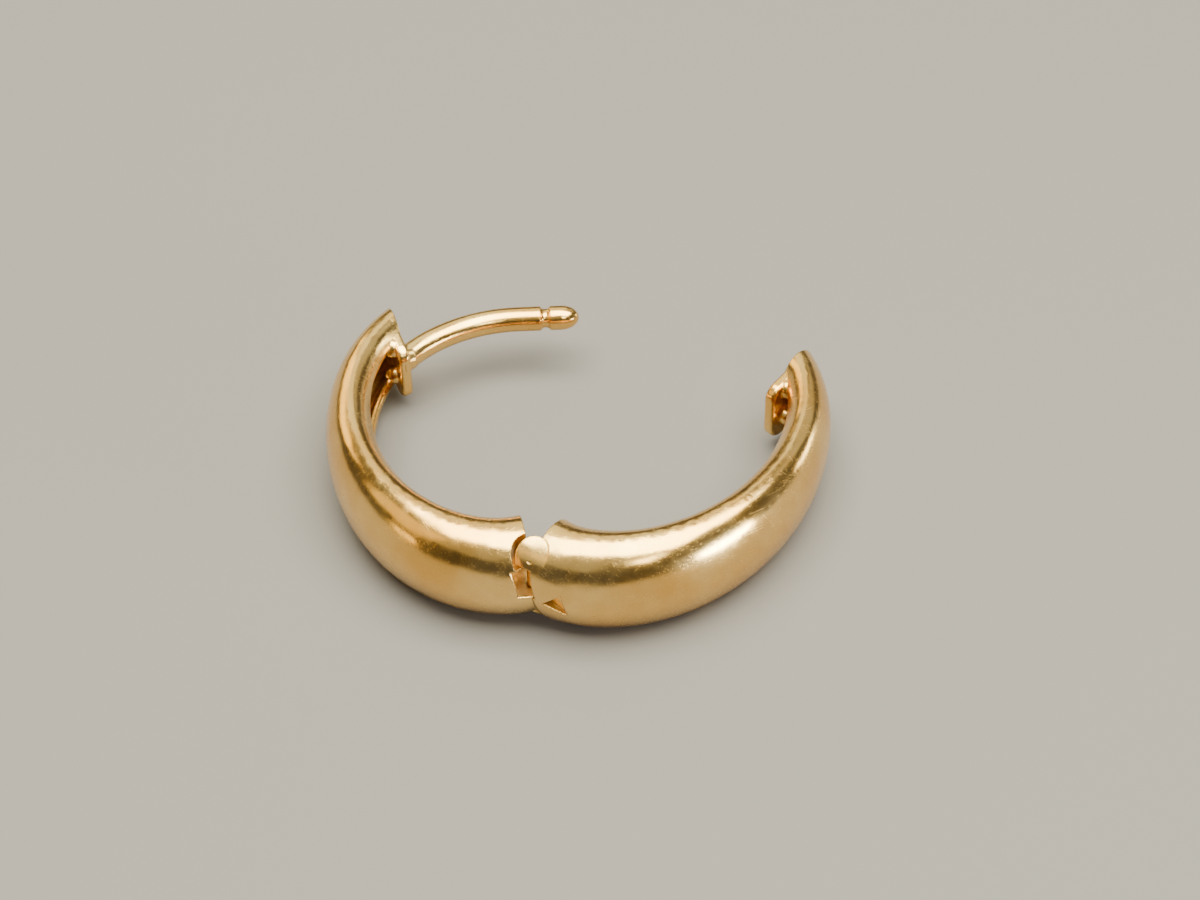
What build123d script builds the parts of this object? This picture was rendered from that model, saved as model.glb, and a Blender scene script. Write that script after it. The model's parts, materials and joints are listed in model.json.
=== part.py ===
from build123d import *
from math import asin, cos, degrees, radians, sin
import os

# Hinged hoop earring, opened and lying on its side. Millimetres, +Z up.
# Each half is first made closed and standing on the hinge axis: the hinge axis is the Z axis,
# the crown of the band lies below it (-Y) and the gap for the ear lobe above it (+Y).

# Oval of the closed hoop, measured on the crown of the band. The free ends lie one tip turn from the hinge.
hoop_half_width = 5.8
hoop_half_height = 7.3
tip_turn = 146.3

# Hollow band, open along its inner side: its greatest size, its wall, where across its depth it is
# widest, how far its inner side closes in, and how round its two lips are
band_width = 3.5
band_depth = 2.85
band_wall = 0.36
crown_share = 0.53
lip_share = 0.6
lip_round = 0.35

# Plates soldered into the two free ends, leaning by the cut's angle, reaching in beyond the band and
# narrowing as they go. A bead of solder fills the corner behind each side of a plate.
cut_lean = 13.0
plate_thickness = 0.38
plate_reach = 2.6
plate_width = 2.2
plate_fall = 0.3
plate_drop = 0.3
plate_corner = 0.5
plate_edge = 0.12
solder_radius = 0.34
solder_depth = 1.86
solder_side = 0.6

# Ear post: seated on its plate, bent into the hoop, with a bullet end, a groove and a collar of solder
post_diameter = 0.84
post_seat = 2.13
post_rise = 0.23
post_heading = 41.9
post_neck = 0.03
post_bend_radius = 5.0
post_bend = 49.0
post_straight = 2.08
bullet_length = 0.6
post_sink = 0.2
post_foot_diameter = 1.02
post_foot_height = 0.22
groove_from_tip = 1.15
groove_width = 0.34
groove_depth = 0.1

# Hinge: a lower knuckle on the post half up to the lap, an upper knuckle on the catch half above the lift,
# and room cut round both. Between them the crown of the catch half is bevelled, so that it can swing open.
# The pin is soldered into the upper knuckle and headed under the lower one.
pivot_depth = 0.56
knuckle_radius = 0.53
knuckle_gap = 0.1
hinge_relief = 0.23
lap_height = 0.0
lap_gap = 0.05
knuckle_lift = 0.9
bevel_foot = 0.39
bevel_head = 0.1
pin_diameter = 0.36
pin_top = 1.1
pin_head_diameter = 0.56
pin_foot = 0.85
pin_running_gap = 0.03
end_gap = 0.06
end_slope = 2.6
plug_turn = 14.0
notch_floor = 0.25

# Hole for the post in the plate of the catch half, and the room its end needs when latched.
# The catch half is drawn a little larger than the post half, so that the post can lie inside it.
catch_seat = 1.1
catch_clearance = 0.09
catch_length = 1.3
latch_turn = 4.2
latch_clearance = 0.05
catch_growth = 1.012

# How far each half stands open from its closed place, in degrees
post_open = 8.5
catch_open = 30.6

# Sections of the band: turn as a share of the tip's, width and depth as shares of the band's
BAND_SECTIONS = [
    # turn, width, depth
    (0.00, 0.94, 1.000),
    (0.20, 1.00, 0.835),
    (0.40, 1.00, 0.705),
    (0.60, 0.95, 0.610),
    (0.80, 0.85, 0.555),
    (1.00, 0.72, 0.530),
    (1.15, 0.63, 0.530),
]

# Corners of the file cut beside the hinge: along the band, across it
NOTCH_CORNERS = [(0.62, -0.1), (1.2, 0.4), (1.4, -0.42)]


def crown_point(turn):
    """Point on the crown of the closed band, at a turn in degrees from the hinge."""
    angle = radians(turn)
    return hoop_half_width * sin(angle), hoop_half_height * (1 - cos(angle)) - pivot_depth


def band_plane(turn):
    """Plane across the band: origin on the crown, X into the hoop, Y across the width."""
    angle = radians(turn)
    inward_x = -hoop_half_height * sin(angle)
    inward_y = hoop_half_width * cos(angle)
    return Plane(
        origin=(*crown_point(turn), 0),
        x_dir=(inward_x, inward_y, 0),
        z_dir=(inward_y, -inward_x, 0),
    )


def band_size(share):
    """Width and depth of the band at a share of the tip's turn, between the rows of the table."""
    for low, high in zip(BAND_SECTIONS, BAND_SECTIONS[1:]):
        if share <= high[0]:
            part = (share - low[0]) / (high[0] - low[0])
            width = low[1] + part * (high[1] - low[1])
            depth = low[2] + part * (high[2] - low[2])
            return band_width * width, band_depth * depth


def band_outline(turn_share, width, depth):
    """Closed outline of the band: a half ellipse on the crown side and one on the inner side."""
    middle = (crown_share * depth, 0)
    with BuildSketch(band_plane(turn_share * tip_turn)) as outline:
        with BuildLine():
            EllipticalCenterArc(middle, crown_share * depth, width / 2, 90, arc_size=180)
            EllipticalCenterArc(middle, (1 - crown_share) * depth, width / 2, -90, arc_size=180)
        make_face()
    return outline.sketch


def hollow_outline(turn_share, width, depth):
    """Outline of the hollow: the band's outline one wall in, open on the inner side between round lips."""
    lip = asin(lip_share)
    middle = (crown_share * depth, 0)
    crown_radius = crown_share * depth - band_wall
    inner_radius = (1 - crown_share) * depth - band_wall
    side_radius = width / 2 - band_wall
    inside_x, inside_y = middle[0] + inner_radius * cos(lip), side_radius * sin(lip)
    outside_x, outside_y = inside_x + band_wall * cos(lip), inside_y + band_wall * sin(lip)
    round_x = (inside_x + outside_x) / 2 + lip_round * band_wall * sin(lip)
    round_y = (inside_y + outside_y) / 2 - lip_round * band_wall * cos(lip)
    clear_x = depth + band_wall
    with BuildSketch(band_plane(turn_share * tip_turn)) as outline:
        with BuildLine():
            EllipticalCenterArc(middle, crown_radius, side_radius, 90, arc_size=180)
            EllipticalCenterArc(middle, inner_radius, side_radius, -90, arc_size=90 - degrees(lip))
            ThreePointArc((inside_x, -inside_y), (round_x, -round_y), (outside_x, -outside_y))
            Polyline(
                (outside_x, -outside_y), (clear_x, -outside_y), (clear_x, outside_y), (outside_x, outside_y)
            )
            ThreePointArc((outside_x, outside_y), (round_x, round_y), (inside_x, inside_y))
            EllipticalCenterArc(middle, inner_radius, side_radius, degrees(lip), arc_size=90 - degrees(lip))
        make_face()
    return outline.sketch


# The free end: where the crown ends, and the slanting plane that the end plate lies on
tip_x, tip_y = crown_point(tip_turn)
cut_x, cut_y = -sin(radians(cut_lean)), -cos(radians(cut_lean))
cut_plane = Plane(origin=(tip_x, tip_y, 0), x_dir=(cut_x, cut_y, 0), z_dir=(cut_y, -cut_x, 0))
tip_width, tip_depth = band_size(1)
plate_crown = crown_share * tip_depth / band_plane(tip_turn).x_dir.dot(cut_plane.x_dir)

# The hinge end: a plane across the band, leaning back so that the closed halves don't meet there
end_x, end_y = sin(radians(end_slope)), cos(radians(end_slope))
end_plane = Plane(origin=(end_gap, 0, 0), x_dir=(end_x, end_y, 0), z_dir=(-end_y, end_x, 0))
lower_lap = Plane.XY.offset(lap_height)
upper_lap = Plane.XY.offset(lap_height + knuckle_lift)
head_plane = Plane.XY.offset(-pin_foot)

band_rows = [(turn, band_width * width, band_depth * depth) for turn, width, depth in BAND_SECTIONS]
plug_share = plug_turn / tip_turn
hollow_rows = [(plug_share, *band_size(plug_share))] + band_rows[1:]

# The hollow of the band, which stops one plate thickness short of the free end
with BuildPart() as hollow:
    loft([hollow_outline(*row) for row in hollow_rows])
    with BuildSketch(cut_plane.offset(-plate_thickness)):
        Rectangle(4 * band_depth, 2 * band_width)
    extrude(amount=band_depth, mode=Mode.SUBTRACT)

# Plate of the free end, with its edges rounded
with BuildPart() as end_plate:
    with BuildSketch(cut_plane) as plate_outline:
        with BuildLine():
            Polyline(
                (plate_crown, plate_width / 2),
                (plate_reach, plate_width / 2 - plate_fall),
                (plate_reach, -plate_width / 2 - plate_drop),
                (plate_crown, -plate_width / 2),
                close=True,
            )
        make_face()
        fillet(plate_outline.vertices().group_by(Axis.X)[-1], plate_corner)
    extrude(amount=-plate_thickness)
    fillet(end_plate.edges().filter_by(Axis((0, 0, 0), cut_plane.z_dir), reverse=True), plate_edge)

# Half of the hoop without its hinge knuckle, made on the catch side
with BuildPart() as half_band:
    loft([band_outline(*row) for row in band_rows])
    for free_plane in (cut_plane, end_plane):
        with BuildSketch(free_plane):
            Rectangle(4 * band_depth, 2 * band_width)
        extrude(amount=band_depth, mode=Mode.SUBTRACT)
    add(hollow.part, mode=Mode.SUBTRACT)
    add(end_plate.part)
    with Locations(cut_plane.offset(-plate_thickness)):
        with Locations((solder_depth, solder_side), (solder_depth, -solder_side)):
            Sphere(solder_radius)

# The band's outline at the hinge carried straight through, which shapes the knuckles and the pin's ends
with BuildPart() as hinge_dome:
    with BuildSketch(band_plane(0)):
        add(band_outline(*band_rows[0]).moved(band_plane(0).location.inverse()))
    extrude(amount=2 * knuckle_radius, both=True)

# Upper knuckle, on the catch half, and lower knuckle, on the post half
with BuildPart() as upper_knuckle:
    with BuildSketch(upper_lap):
        Circle(knuckle_radius)
    extrude(amount=band_width)
    scale(hinge_dome.part, by=catch_growth, mode=Mode.INTERSECT)
with BuildPart() as lower_knuckle:
    with BuildSketch(lower_lap):
        Circle(knuckle_radius)
    extrude(amount=-band_width)
    add(hinge_dome.part, mode=Mode.INTERSECT)

# Ear post, from inside its plate to the end of its straight stretch, and the axis of that stretch
root_x, root_y = -tip_x - cut_x * post_seat, tip_y + cut_y * post_seat
start_x, start_y = cos(radians(post_heading)), sin(radians(post_heading))
end_heading = post_heading - post_bend
catch_way = Vector(cos(radians(end_heading)), sin(radians(end_heading)))
with BuildLine() as post_line:
    inside_plate = Line(
        (root_x - post_sink * start_x, root_y - post_sink * start_y, post_rise),
        (root_x + post_neck * start_x, root_y + post_neck * start_y, post_rise),
    )
    curve = JernArc(inside_plate @ 1, (start_x, start_y), post_bend_radius, -post_bend)
    straight = Line(curve @ 1, (curve @ 1) + catch_way * (post_straight - bullet_length))
foot_plane = Plane(origin=(root_x, root_y, post_rise), z_dir=(-cut_plane.z_dir.X, cut_plane.z_dir.Y, 0))
bullet_plane = Plane(origin=straight @ 1, x_dir=catch_way, z_dir=(0, 0, 1))
groove_radius = groove_width**2 / (8 * groove_depth) + groove_depth / 2


def post_end(back, clearance):
    """The post's bullet tip and a stretch behind it, grown by a clearance."""
    radius = post_diameter / 2 + clearance
    with BuildPart() as end:
        with BuildSketch(bullet_plane):
            with BuildLine():
                Line((-back, 0), (bullet_length + clearance, 0))
                EllipticalCenterArc((0, 0), bullet_length + clearance, radius, 0, arc_size=90)
                if back:
                    Polyline((0, radius), (-back, radius), (-back, 0))
                else:
                    Line((0, radius), (0, 0))
            make_face()
        revolve(axis=Axis(straight @ 1, catch_way))
    return end.part


# Room for the post's end in the catch half, where it lies when the hoop is latched
latched_post = Location((0, 0, 0), (0, 0, -latch_turn)) * post_end(post_straight, latch_clearance)

# Half with the ear post, still closed
with BuildPart() as closed_post_half:
    mirror(half_band.part, about=Plane.YZ)
    # Room for the upper knuckle, wider below it, then the lower knuckle itself
    with BuildSketch(lower_lap):
        Circle(knuckle_radius + knuckle_gap)
    extrude(amount=band_width, mode=Mode.SUBTRACT)
    with BuildSketch(lower_lap):
        Circle(knuckle_radius + hinge_relief)
    extrude(amount=knuckle_lift, mode=Mode.SUBTRACT)
    with BuildSketch(lower_lap):
        Circle(knuckle_radius)
    extrude(amount=-band_width, mode=Mode.SUBTRACT)
    add(lower_knuckle.part)
    # Bore for the pin, and the wider seat of its head
    with BuildSketch(Plane.XY):
        Circle(pin_diameter / 2 + pin_running_gap)
    extrude(amount=band_width, both=True, mode=Mode.SUBTRACT)
    with BuildSketch(head_plane.offset(pin_running_gap)):
        Circle(pin_head_diameter / 2 + pin_running_gap)
    extrude(amount=-band_width, mode=Mode.SUBTRACT)
    # Post, the collar of solder at its foot, its bullet end and its groove
    with BuildSketch(Plane(origin=inside_plate @ 0, z_dir=(start_x, start_y, 0))):
        Circle(post_diameter / 2)
    sweep(path=post_line.line)
    with Locations(foot_plane.offset(-post_sink)):
        Cone(
            post_foot_diameter / 2,
            post_diameter / 2 - post_neck,
            post_foot_height + post_sink,
            align=(Align.CENTER, Align.CENTER, Align.MIN),
        )
    add(post_end(0, 0))
    with BuildSketch(bullet_plane):
        with Locations((bullet_length - groove_from_tip, post_diameter / 2 + groove_radius - groove_depth)):
            Circle(groove_radius)
    revolve(axis=Axis(straight @ 1, catch_way), mode=Mode.SUBTRACT)

# Half with the catch, still closed
with BuildPart() as closed_catch_half:
    scale(half_band.part, by=catch_growth)
    # Room for the lower knuckle, the bevel above it, then the upper knuckle itself
    with BuildSketch(lower_lap.offset(lap_gap)):
        Circle(knuckle_radius + knuckle_gap)
    extrude(amount=-band_width, mode=Mode.SUBTRACT)
    with BuildSketch(Plane.XZ):
        with BuildLine():
            Polyline(
                (0, lap_height),
                (bevel_foot, lap_height),
                (bevel_head, lap_height + knuckle_lift),
                (0, lap_height + knuckle_lift),
                close=True,
            )
        make_face()
    extrude(amount=band_depth, mode=Mode.SUBTRACT)
    with BuildSketch(upper_lap):
        Circle(knuckle_radius)
    extrude(amount=band_width, mode=Mode.SUBTRACT)
    add(upper_knuckle.part)
    # Blind bore for the pin, and the file cut
    with BuildSketch(Plane.XY.offset(pin_top)):
        Circle(pin_diameter / 2)
    extrude(amount=-band_width, mode=Mode.SUBTRACT)
    with BuildSketch(Plane.XZ.offset(notch_floor)):
        with BuildLine():
            Polyline(*NOTCH_CORNERS, close=True)
        make_face()
    extrude(amount=band_depth, mode=Mode.SUBTRACT)
    # Hole through the plate, and room behind it for the latched post
    grown_origin = cut_plane.origin * catch_growth
    with BuildSketch(Plane(origin=grown_origin, x_dir=cut_plane.x_dir, z_dir=cut_plane.z_dir)):
        with Locations((catch_seat, post_rise)):
            SlotOverall(catch_length, post_diameter + 2 * catch_clearance)
    extrude(amount=plate_thickness, both=True, mode=Mode.SUBTRACT)
    add(latched_post, mode=Mode.SUBTRACT)

# Pin: soldered into the upper knuckle, headed below and filed flush with the band
with BuildPart() as hinge_pin:
    with BuildSketch(Plane.XY.offset(pin_top)):
        Circle(pin_diameter / 2)
    extrude(amount=-band_width)
    with BuildSketch(head_plane):
        Circle(pin_head_diameter / 2)
    extrude(amount=-band_width)
    add(hinge_dome.part, mode=Mode.INTERSECT)

# Open the halves about the hinge, and lay the whole on its side with its box centred on the origin
post_box = closed_post_half.part.rotate(Axis.Z, post_open).bounding_box()
catch_box = closed_catch_half.part.rotate(Axis.Z, -catch_open).bounding_box()
hinge_place = (
    -(post_box.min.X + catch_box.max.X) / 2,
    -(min(post_box.min.Y, catch_box.min.Y) + max(post_box.max.Y, catch_box.max.Y)) / 2,
    -min(post_box.min.Z, catch_box.min.Z),
)
with BuildPart() as post_half:
    add(Location(hinge_place, (0, 0, post_open)) * closed_post_half.part)
with BuildPart() as catch_half:
    add(Location(hinge_place, (0, 0, -catch_open)) * closed_catch_half.part)
with BuildPart() as placed_pin:
    add(Location(hinge_place, (0, 0, -catch_open)) * hinge_pin.part)

os.makedirs("parts", exist_ok=True)
post_half.part.label = "post_half"
export_step(post_half.part, "parts/post_half.step")
catch_half.part.label = "catch_half"
export_step(catch_half.part, "parts/catch_half.step")
placed_pin.part.label = "hinge_pin"
export_step(placed_pin.part, "parts/hinge_pin.step")

print("hinge at", hinge_place)
for name, piece in (("post_half", post_half), ("catch_half", catch_half), ("hinge_pin", placed_pin)):
    print(name, "volume", piece.part.volume, "solids", len(piece.solids()), "valid", piece.part.is_valid)
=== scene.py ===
# %% [markdown]
# # A hinged hoop earring, opened and laid on its side
#
# The real object is a small gold hoop made of two hollow halves that swing on a pin. It is shown
# opened, with its ear post and its catch apart. The measured solids already have the true shape, so
# this lesson loads them as a fixed frame and gives them the finish of worn, polished gold.

# %% Load the measured solids
import json
import math

import bpy
import numpy as np
from mathutils import Matrix, Vector

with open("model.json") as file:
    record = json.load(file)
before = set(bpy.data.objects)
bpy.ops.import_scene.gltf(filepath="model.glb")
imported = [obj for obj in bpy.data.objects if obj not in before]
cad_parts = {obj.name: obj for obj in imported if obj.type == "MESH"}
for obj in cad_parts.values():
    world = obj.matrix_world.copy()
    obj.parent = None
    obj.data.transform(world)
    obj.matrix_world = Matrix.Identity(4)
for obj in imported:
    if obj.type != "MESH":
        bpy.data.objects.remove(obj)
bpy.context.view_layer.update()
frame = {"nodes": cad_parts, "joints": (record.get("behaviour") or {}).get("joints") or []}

joint = frame["joints"][0]
hinge = Vector(joint["pos_m"])
print("solids:", sorted(frame["nodes"]))
print("hinge at, in mm:", [round(c * 1000, 3) for c in hinge])

# %% [markdown]
# ## Camera
#
# The photograph looks down at the hoop from the hinge side, from less than a hand's width away. A
# long lens from further off would flatten the oval, so the camera stands where the photograph was
# taken: its height, distance and lens were fitted to the outline of both halves and the post.

# %% Place the camera
hinge_to_aim = Vector((0.0021553, 0.0058005, 0.0))
aim = hinge + hinge_to_aim
look_down = math.radians(44.56)
distance = 0.080
roll = math.radians(-1.29)
sensor_mm = 36
lens_mm = 73.69
nearest_seen = 0.001

forward = Vector((0, math.cos(look_down), -math.sin(look_down)))
level_right = Vector((1, 0, 0))
level_up = level_right.cross(forward)
right = level_right * math.cos(roll) + level_up * math.sin(roll)
upward = level_up * math.cos(roll) - level_right * math.sin(roll)

camera_data = bpy.data.cameras.new("camera")
camera_data.sensor_width = sensor_mm
camera_data.lens = lens_mm
camera_data.clip_start = nearest_seen
camera = bpy.data.objects.new("camera", camera_data)
bpy.context.scene.collection.objects.link(camera)
axes = Matrix((right, upward, -forward)).transposed().to_4x4()
camera.matrix_world = Matrix.Translation(aim - forward * distance) @ axes
bpy.context.scene.camera = camera
print("camera stands", round(distance * 1000), "mm away, looking down",
      round(math.degrees(look_down), 1), "degrees")

# %% [markdown]
# ## Colours and nodes
#
# A jeweller names colours by eye, and hex values are the nearest thing to that. Blender's shaders
# count in linear light, so one function turns each hex value into linear light.
# Every material below is built with one small function that adds a node with its settings and
# links. Typing the sockets out each time would work too, but hides what the finish is made of.


# %% Three helpers for every material
def linear(hex_colour):
    """Linear RGBA from an sRGB hex colour."""
    channels = [int(hex_colour[i:i + 2], 16) / 255 for i in (1, 3, 5)]
    light = [c / 12.92 if c <= 0.04045 else ((c + 0.055) / 1.055) ** 2.4 for c in channels]
    return light + [1.0]


def add(tree, kind, inputs=None, **settings):
    """Adds a node. Each entry of inputs is a value, or another node's output to link."""
    made = tree.nodes.new(kind)
    for name, value in settings.items():
        setattr(made, name, value)
    for name, value in (inputs or {}).items():
        if isinstance(value, bpy.types.NodeSocket):
            tree.links.new(value, made.inputs[name])
        else:
            made.inputs[name].default_value = value
    return made


def per_mm(size):
    """Texture scale, in features a metre, for a feature of that size in millimetres."""
    return 1000 / size


print("mid grey in linear light:", [round(c, 3) for c in linear("#808080")])

# %% [markdown]
# ## Worn, polished gold: its tone
#
# The halves are fourteen-carat gold sheet, drawn over a former, soldered and polished on a felt
# wheel. The alloy is a warm, rather pale yellow, and handling leaves patches of a few millimetres
# that are a little redder. A picture of gold could be wrapped round the band, but it would stretch
# at the ends. Patterns in the object's own space have one size everywhere, so all of them use it.

# %% Patches of tone
tone_patch = 3.2
tone_middle = (0.35, 0.65)


def gold_tone(tree, place, pale, warm):
    """Two golds, mixed by a slow noise that is stretched in value from its middle third."""
    patches = add(tree, "ShaderNodeTexNoise", {
        "Vector": place, "Scale": per_mm(tone_patch), "Detail": 4.0, "Roughness": 0.6})
    drift = add(tree, "ShaderNodeMapRange", {
        "Value": patches.outputs["Fac"], "From Min": tone_middle[0], "From Max": tone_middle[1]})
    tone = add(tree, "ShaderNodeMix", {
        "Factor": drift.outputs["Result"], "A": linear(pale), "B": linear(warm)},
        data_type="RGBA")
    return tone.outputs["Result"]


print("tone patches are", tone_patch, "mm wide")

# %% [markdown]
# ## Dirt and painted shade in corners
#
# No wheel or finger reaches the inside of the hollow halves or the root of the plates, so the gold
# there is duller, with a thin film of dirt. The shade that falls there is painted into the colour
# as well, so the gold there is browner. Painting it on by hand would miss spots. Instead the shader
# measures how much of the room each point sees, and breaks the edge of the brown area up with a
# fine noise.

# %% Where the gold is closed in, and its film
corner_reach = 0.0012
open_view, closed_view = 0.75, 0.15
film_patch = 0.55
film_middle = (0.35, 0.7)


def closed_in(tree):
    """One where a point sees under a seventh of its surroundings, nought past three quarters."""
    openness = add(tree, "ShaderNodeAmbientOcclusion", {"Distance": corner_reach}, samples=8)
    return add(tree, "ShaderNodeMapRange", {
        "Value": openness.outputs["AO"], "From Min": open_view,
        "From Max": closed_view}).outputs["Result"]


def film_clouds(tree, place):
    """A cloudy noise of half-millimetre patches, from nought to one."""
    film = add(tree, "ShaderNodeTexNoise", {
        "Vector": place, "Scale": per_mm(film_patch), "Detail": 6.0, "Roughness": 0.7})
    return add(tree, "ShaderNodeMapRange", {
        "Value": film.outputs["Fac"], "From Min": film_middle[0],
        "From Max": film_middle[1]}).outputs["Result"]


print("corners are felt", corner_reach * 1000, "mm deep")

# %% [markdown]
# ## Scratches and dents
#
# Worn gold carries hairline scratches at all angles and a few shallow dents from knocks. Real
# scratches are a hundredth of a millimetre wide, too fine to show here, so these are drawn a
# little wider and kept shallow. One layer of streaks would look brushed. Three layers at three
# angles cross each other at random, as wear does.

# %% Scratches and dents
# Each layer is its turn in radians, its spacing in millimetres and the height where a crest starts
streak_length = 45.0
streak_bend = 0.1
crest_height = 0.08
scratch_layers = (
    ((0.3, 0.2, 0.7), 0.05, 0.65),
    ((0.1, -0.4, 2.3), 0.06, 0.66),
    ((-0.4, 1.0, 0.2), 0.08, 0.66),
)
dent_spacing = 0.9
pit_floor, pit_rim = 0.02, 0.13


def scratches(tree, place):
    """Noise stretched one way with only its crests kept, and the highest of three such layers."""
    highest = 0.0
    for turn, spacing, crest in scratch_layers:
        stretched = add(tree, "ShaderNodeMapping", {
            "Vector": place, "Rotation": turn, "Scale": (streak_length, 1.0, 1.0)},
            vector_type="TEXTURE")
        streaks = add(tree, "ShaderNodeTexNoise", {
            "Vector": stretched.outputs["Vector"], "Scale": per_mm(spacing), "Detail": 1.0,
            "Distortion": streak_bend})
        kept = add(tree, "ShaderNodeMapRange", {
            "Value": streaks.outputs["Fac"], "From Min": crest,
            "From Max": crest + crest_height})
        highest = add(tree, "ShaderNodeMath", {
            0: kept.outputs["Result"], 1: highest}, operation="MAXIMUM").outputs["Value"]
    return highest


def dents(tree, place):
    """Distance from scattered points, so that each point becomes a small round pit."""
    points = add(tree, "ShaderNodeTexVoronoi", {
        "Vector": place, "Scale": per_mm(dent_spacing), "Randomness": 1.0})
    return add(tree, "ShaderNodeMapRange", {
        "Value": points.outputs["Distance"], "From Min": pit_floor, "From Max": pit_rim},
        interpolation_type="SMOOTHSTEP").outputs["Result"]


print("scratches are", [spacing for _, spacing, _ in scratch_layers], "mm apart")

# %% [markdown]
# ## Roughness and relief
#
# Each kind of wear scatters light a little more than the polish does, so roughness is a sum: the
# polish, plus a share for the film, the scratches and the corners.
# The felt wheel also leaves slow waves, a twentieth of a millimetre deep, which bend the
# reflections, and it rounds every edge. Modelling waves that shallow would take a million faces, so
# they are bumps in the shader, laid one over the other from the widest to the finest.

# %% Roughness and relief
wear_shares = {"film": 0.10, "scratches": 0.08, "corners": 0.20}
edge_radius = 0.00006
wave_size = 1.6
wave_depth = 0.00005
dent_depth = 0.000006
scratch_depth = 0.000001
full_strength, half_strength = 1.0, 0.5


def worn_roughness(tree, polish, marks):
    """The roughness of the polish plus each mark times its share."""
    total = polish
    for kind, mark in marks.items():
        total = add(tree, "ShaderNodeMath", {
            0: mark, 1: wear_shares[kind], 2: total}, operation="MULTIPLY_ADD").outputs["Value"]
    return total


def worn_relief(tree, place, pits, scored):
    """The rounded edge's normal, bent by the waves, then by the dents, then by the scratches."""
    normal = add(tree, "ShaderNodeBevel", {"Radius": edge_radius}, samples=6).outputs["Normal"]
    waves = add(tree, "ShaderNodeTexNoise", {
        "Vector": place, "Scale": per_mm(wave_size), "Detail": 1.5, "Roughness": 0.4})
    bumps = (
        (waves.outputs["Fac"], full_strength, wave_depth, False),
        (pits, half_strength, dent_depth, False),
        (scored, half_strength, scratch_depth, True),
    )
    for height, strength, depth, sunk in bumps:
        normal = add(tree, "ShaderNodeBump", {
            "Height": height, "Strength": strength, "Distance": depth, "Normal": normal},
            invert=sunk).outputs["Normal"]
    return normal


print("polishing waves are", wave_size, "mm long and", wave_depth * 1000, "mm deep")

# %% [markdown]
# ## The finished gold
#
# Gold is a bare metal, so its colour is the colour of its reflections: metallic is one, and the
# index of refraction stays as Blender has it. The halves and the pin share one recipe. The pin is
# drawn wire, filed flush with the knuckle, so it is a little rougher and darker than the band.


# %% Worn gold as one material
def worn_gold(name, pale, warm, shade, polish):
    """Gold with drifting tone, painted shade and dirt in corners, scratches, small dents, soft
    edges.
    """
    material = bpy.data.materials.new(name)
    material.use_nodes = True
    tree = material.node_tree
    tree.nodes.clear()
    place = add(tree, "ShaderNodeTexCoord").outputs["Object"]

    corners = closed_in(tree)
    film = film_clouds(tree, place)
    # Where the gold is closed in, it is mixed towards the brown shade colour: dirt and painted
    # shade.
    dirt_and_painted_shade = add(tree, "ShaderNodeMath", {0: corners, 1: film}, operation="MULTIPLY")
    colour = add(tree, "ShaderNodeMix", {
        "Factor": dirt_and_painted_shade.outputs["Value"], "A": gold_tone(tree, place, pale, warm),
        "B": linear(shade)}, data_type="RGBA")

    scored = scratches(tree, place)
    marks = {"film": film, "scratches": scored, "corners": corners}
    surface = add(tree, "ShaderNodeBsdfPrincipled", {
        "Base Color": colour.outputs["Result"], "Metallic": 1.0,
        "Roughness": worn_roughness(tree, polish, marks),
        "Normal": worn_relief(tree, place, dents(tree, place), scored)})
    add(tree, "ShaderNodeOutputMaterial", {"Surface": surface.outputs["BSDF"]})
    print(name, "has", len(tree.nodes), "nodes")
    return material


# %% Give the gold to the solids
# The third colour of each gold is the brown of dirt and of painted shade in the closed-in corners.
half_gold = worn_gold("half_gold_fourteen_carat", "#F6CD7E", "#E6B15B", "#7E5122", polish=0.16)
pin_gold = worn_gold("pin_gold_drawn_wire", "#F0C87A", "#E0AC58", "#784C1E", polish=0.20)
for node, finish in (("post_half", half_gold), ("catch_half", half_gold), ("hinge_pin", pin_gold)):
    for held in frame["nodes"][node].material_slots:
        held.material = finish
    print(node, "is", finish.name)

# %% [markdown]
# ## Floor
#
# The hoop lies on a plain pale card. One flat square is enough, far wider than the picture, so
# that its edge never shows and its reflection fills the low sides of the band. The lights are
# strong, so a card that is a middle grey by its own colour comes out pale.


# %% Lay the floor
def flat_square(name, half_side):
    """Four corners at height zero, joined as one face."""
    mesh = bpy.data.meshes.new(name)
    corners = np.array([(-1, -1, 0), (1, -1, 0), (1, 1, 0), (-1, 1, 0)], float) * half_side
    mesh.from_pydata(corners.tolist(), [], [(0, 1, 2, 3)])
    laid = bpy.data.objects.new(name, mesh)
    bpy.context.scene.collection.objects.link(laid)
    return laid


card_grey = "#6E6A6A"
card_roughness = 0.75

floor = flat_square("floor", half_side=0.6)
floor_card = bpy.data.materials.new("floor_matt_card")
floor_card.use_nodes = True
card = floor_card.node_tree.nodes["Principled BSDF"].inputs
card["Base Color"].default_value = linear(card_grey)
card["Roughness"].default_value = card_roughness
floor.data.materials.append(floor_card)
print("floor is", round(floor.dimensions.x, 2), "m wide")

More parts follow.
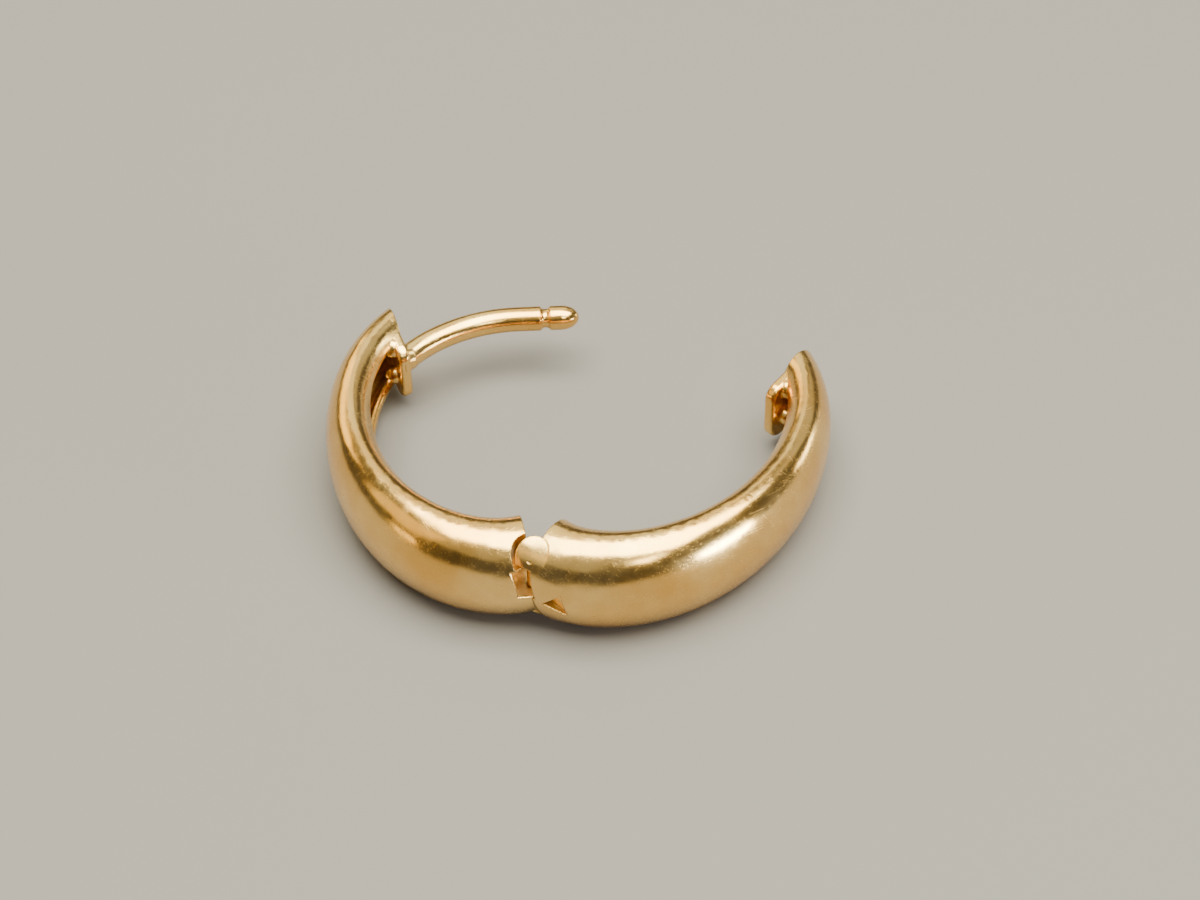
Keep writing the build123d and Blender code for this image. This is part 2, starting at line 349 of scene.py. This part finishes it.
# %% [markdown]
# ## Light
#
# Polished metal shows nothing but what surrounds it, so each soft box here is also a reflection
# that is drawn on the gold. A single lamp would leave the band black with one white dot.
# The big panel overhead draws the broad bright line along the crown near the hinge and on the post.
# The yellow lamp behind on the left gives the gold band along the left half, and the cool window at
# the front right gives the long white spot on the right half. Dim wide panels fill the gaps between
# them, so that the gold turns from light to deep without a hard line.


# %% A soft box
def soft_box(name, place, width, height, brightness, tint):
    """A rectangle of light aimed at the hoop. Its power is brightness times pi times area."""
    data = bpy.data.lights.new(name, "AREA")
    data.shape = "RECTANGLE"
    data.size, data.size_y = width, height
    data.color = linear(tint)[:3]
    data.energy = brightness * math.pi * width * height
    box = bpy.data.objects.new(name, data)
    bpy.context.scene.collection.objects.link(box)
    box.location = Vector(place)
    box.rotation_euler = (aim - box.location).to_track_quat("-Z", "Y").to_euler()
    print(name, "gives", round(data.energy, 3), "W")


# %% Hang the lights
warm_white = "#FCFBE2"
lamp_yellow = "#FFE38C"
daylight = "#EAF4FF"

soft_box("ceiling_panel", (0.022, -0.005, 0.230), 0.20, 0.30, 16.0, warm_white)
soft_box("back_panel", (-0.010, 0.163, 0.147), 0.16, 0.13, 1.6, warm_white)
soft_box("left_back_panel", (-0.130, 0.156, 0.085), 0.14, 0.07, 3.4, lamp_yellow)
soft_box("right_upper_panel", (0.120, 0.143, 0.117), 0.12, 0.10, 0.6, warm_white)
soft_box("right_back_panel", (0.200, 0.080, 0.025), 0.06, 0.03, 10.0, warm_white)
soft_box("front_panel", (0.070, -0.160, 0.160), 0.05, 0.04, 12.0, warm_white)
soft_box("front_left_panel", (-0.089, -0.127, 0.156), 0.20, 0.12, 0.45, warm_white)
soft_box("left_panel", (-0.190, -0.030, 0.130), 0.15, 0.12, 1.5, lamp_yellow)
soft_box("low_left_panel", (-0.200, -0.070, 0.025), 0.05, 0.03, 4.0, lamp_yellow)
soft_box("window_panel", (0.190, -0.105, 0.018), 0.085, 0.034, 60.0, daylight)

# %% Dim the room
room_grey = "#8C8A8C"
room_strength = 0.38

room = bpy.data.worlds.new("room")
room.use_nodes = True
room_light = room.node_tree.nodes["Background"].inputs
room_light["Color"].default_value = linear(room_grey)
room_light["Strength"].default_value = room_strength
bpy.context.scene.world = room
print("the room's own light is", room_strength)
